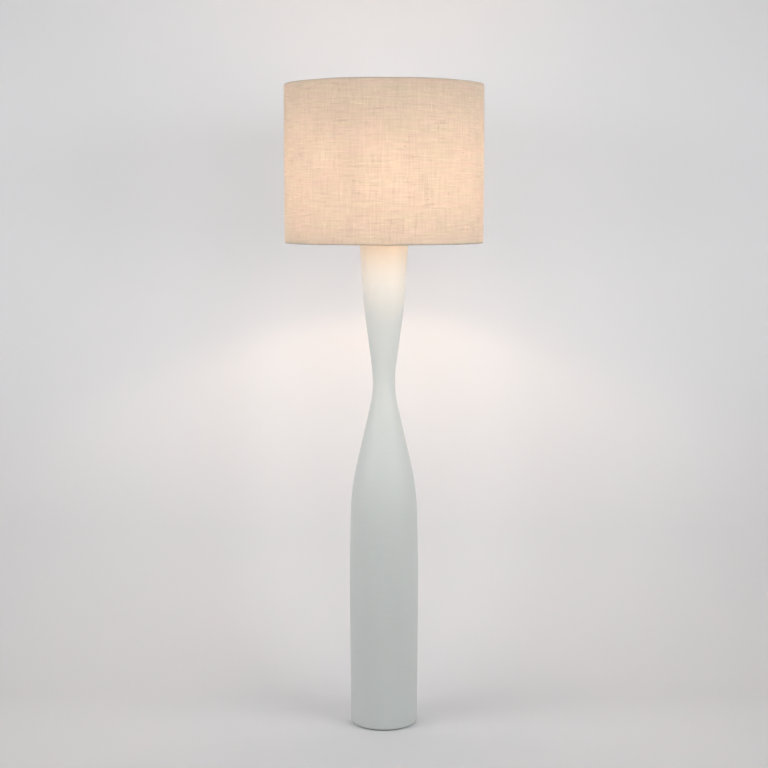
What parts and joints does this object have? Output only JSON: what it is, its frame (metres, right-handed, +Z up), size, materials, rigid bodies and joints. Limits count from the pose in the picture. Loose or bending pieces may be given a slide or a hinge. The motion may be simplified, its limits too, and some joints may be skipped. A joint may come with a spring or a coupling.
{
  "type": "column floor lamp",
  "caption": "Floor lamp with a turned, painted column that narrows to a waist, and a cloth drum shade on a screwed lampholder.",
  "frame": {"origin": "on the floor under the column's axis, at the felt pad's underside", "axes": "+Z up the column, +Y to the back where the mains cord enters, +X to the right seen from the front"},
  "size_m": [0.45, 0.45, 1.473],
  "materials": {
    "column_paint": "matt chalky paint over turned, sanded wood",
    "zinc_steel": "zinc plated",
    "cast_iron": "sand-cast, dark primer",
    "brass": "bright",
    "hardboard": "pressed hardboard",
    "felt": "pressed felt",
    "white_plastic": "moulded",
    "natural_nylon": "moulded nylon",
    "lead_white": "extruded sheath",
    "core_brown": "extruded insulation",
    "core_blue": "extruded insulation",
    "core_green": "green and yellow insulation",
    "holder_white": "moulded, satin",
    "holder_insert": "moulded phenolic",
    "linen": "natural linen with slubs, lit from inside",
    "styrene": "white lampshade laminate",
    "white_wire": "white powder coat",
    "cap_nickel": "nickel plated",
    "black_glass": "black insulating glass",
    "bulb_white": "moulded, satin",
    "bulb_opal": "opal diffuser, lit warm white",
    "board_aluminium": "white solder mask",
    "led_phosphor": "phosphor over the die",
    "board_green": "solder mask",
    "driver_black": "moulded"
  },
  "bodies": {
    "stand": {"column_lower": "column_paint", "column_upper": "column_paint", "lamp_rod": "zinc_steel", "base_weight": "cast_iron", "base_washer": "zinc_steel", "earth_tag": "brass", "base_lock_washer": "zinc_steel", "base_nut": "zinc_steel", "base_cover": "hardboard", "cover_screws": "zinc_steel", "felt_pad": "felt", "cord_inlet": "white_plastic", "terminal_block": "natural_nylon", "terminal_sleeves": "brass", "terminal_screws": "zinc_steel", "terminal_fixing_screws": "zinc_steel", "lead_sheath": "lead_white", "live_core": "core_brown", "neutral_core": "core_blue", "earth_wire": "core_green", "top_washer": "brass", "top_nut": "brass", "holder_cap": "holder_white", "holder_grub_screw": "zinc_steel", "holder_insert": "holder_insert", "holder_terminals": "brass", "holder_terminal_screws": "zinc_steel", "centre_contact": "brass", "side_contact": "brass", "screw_shell": "brass", "holder_skirt": "holder_white", "shade_ring_lower": "holder_white"},
    "shade": {"shade_cloth": "linen", "shade_liner": "styrene", "shade_top_wire": "white_wire", "shade_bottom_wire": "white_wire", "fitter_arms": "white_wire", "fitter_ring": "white_wire"},
    "friction_washer": {"ring_washer": "natural_nylon"},
    "clamp_ring": {"shade_ring_upper": "holder_white"},
    "bulb_contact": {"bulb_tip": "cap_nickel"},
    "bulb": {"bulb_insulator": "black_glass", "bulb_cap": "cap_nickel", "bulb_housing": "bulb_white", "bulb_diffuser": "bulb_opal", "led_board": "board_aluminium", "led_chips": "led_phosphor", "driver_board": "board_green", "driver_parts": "driver_black"}
  },
  "joints": [
    {"name": "shade_turn", "type": "hinge", "parent": "stand", "child": "shade", "pos_m": [0, 0, 1.1793], "axis": [0, 0, 1], "continuous": true},
    {"name": "ring_lift", "type": "slide", "parent": "stand", "child": "friction_washer", "axis": [0, 0, 1], "range_m": [0, 0.01255]},
    {"name": "ring_turn", "type": "hinge", "parent": "friction_washer", "child": "clamp_ring", "pos_m": [0, 0, 1.1854], "axis": [0, 0, 1], "range_deg": [0, 1800]},
    {"name": "bulb_lift", "type": "slide", "parent": "stand", "child": "bulb_contact", "axis": [0, 0, 1], "range_m": [0, 0.02182]},
    {"name": "bulb_turn", "type": "hinge", "parent": "bulb_contact", "child": "bulb", "pos_m": [0, 0, 1.19], "axis": [0, 0, 1], "range_deg": [0, 2160]}
  ],
  "couplings": [
    {"joint": "ring_lift", "follows": "ring_turn", "m_per_rad": 0.00039789},
    {"joint": "bulb_lift", "follows": "bulb_turn", "m_per_rad": 0.00057757}
  ]
}
